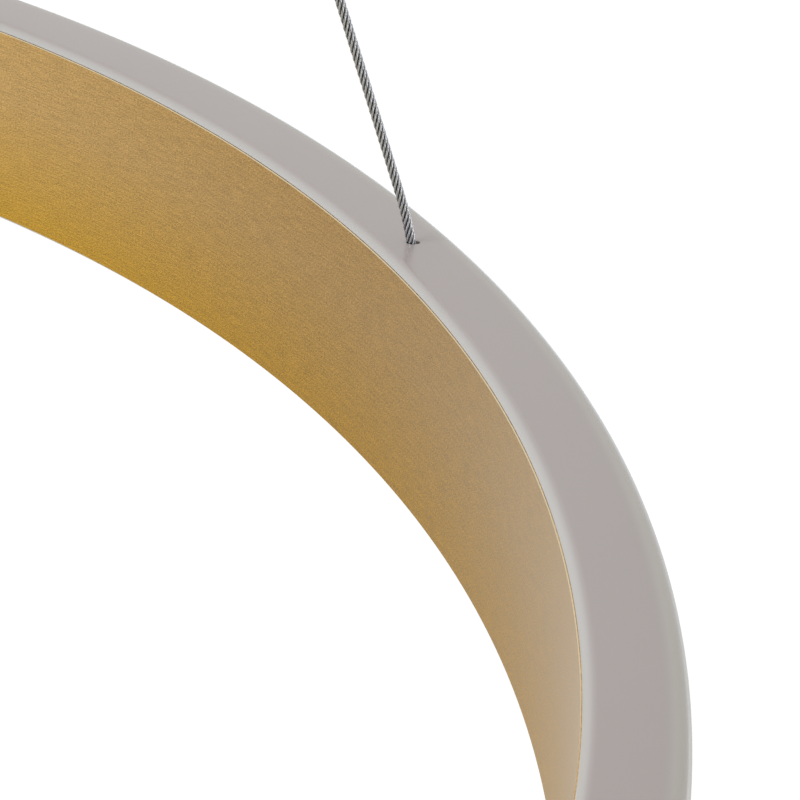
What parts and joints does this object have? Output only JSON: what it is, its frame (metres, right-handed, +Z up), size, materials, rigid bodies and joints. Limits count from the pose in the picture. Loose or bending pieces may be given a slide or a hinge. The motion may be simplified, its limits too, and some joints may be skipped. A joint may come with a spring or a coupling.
{
  "type": "ring pendant light",
  "caption": "Round hanging ring light with a gold inner band, a white silicone outer skin, and steel wires up to a ceiling canopy.",
  "frame": {"origin": "middle of the ceiling strap's two screw slots, on the ceiling plane that the strap's top face and the canopy's rim meet", "axes": "+Z up into the ceiling; +X from the middle towards the first suspension wire; the strap runs along Y"},
  "size_m": [0.5999, 0.6, 0.6075],
  "materials": {
    "white_silicone": "satin, milky white, unlit",
    "gold_anodised": "gold anodised, brushed round the ring",
    "stainless_rope": "stranded stainless wire rope",
    "nickel_plated": "satin nickel plated turned brass",
    "white_coat": "fine matt white powder coat",
    "zinc_plated": "zinc plated steel",
    "mill_aluminium": "plain mill finish",
    "hardened_steel": "ground steel",
    "spring_steel": "drawn steel",
    "white_plastic": "fine moulded texture",
    "strip_board": "flexible board with white solder mask",
    "led_phosphor": "yellow phosphor gel",
    "grey_foam": "closed-cell foam"
  },
  "bodies": {
    "fixture": {"silicone_sleeve": "white_silicone", "aluminium_band": "gold_anodised", "splice_plates": "mill_aluminium", "led_strip": "strip_board", "led_chips": "led_phosphor", "feed_connector": "white_plastic", "anchor_blocks": "mill_aluminium", "wire_ferrules": "nickel_plated", "suspension_wire_1": "stainless_rope", "suspension_wire_2": "stainless_rope", "suspension_wire_3": "stainless_rope", "gripper_bodies": "nickel_plated", "gripper_spring_1": "spring_steel", "gripper_spring_2": "spring_steel", "gripper_spring_3": "spring_steel", "gripper_caps": "nickel_plated", "hex_nuts": "zinc_plated", "canopy_cover": "white_coat", "cover_screws": "zinc_plated", "ceiling_strap": "zinc_plated", "cord_outlet": "white_plastic", "led_driver": "white_plastic", "driver_pads": "grey_foam", "terminal_block": "white_plastic"},
    "plunger_1": {"gripper_plunger_1": "nickel_plated", "gripper_jaws_1": "hardened_steel"},
    "plunger_2": {"gripper_plunger_2": "nickel_plated", "gripper_jaws_2": "hardened_steel"},
    "plunger_3": {"gripper_plunger_3": "nickel_plated", "gripper_jaws_3": "hardened_steel"}
  },
  "joints": [
    {"name": "release_1", "type": "slide", "parent": "fixture", "child": "plunger_1", "axis": [0, 0, 1], "range_m": [0, 0.0025], "stiffness_N_per_m": 800, "springref_m": -0.004, "deforming": ["gripper_spring_1"]},
    {"name": "release_2", "type": "slide", "parent": "fixture", "child": "plunger_2", "axis": [0, 0, 1], "range_m": [0, 0.0025], "stiffness_N_per_m": 800, "springref_m": -0.004, "deforming": ["gripper_spring_2"]},
    {"name": "release_3", "type": "slide", "parent": "fixture", "child": "plunger_3", "axis": [0, 0, 1], "range_m": [0, 0.0025], "stiffness_N_per_m": 800, "springref_m": -0.004, "deforming": ["gripper_spring_3"]}
  ]
}
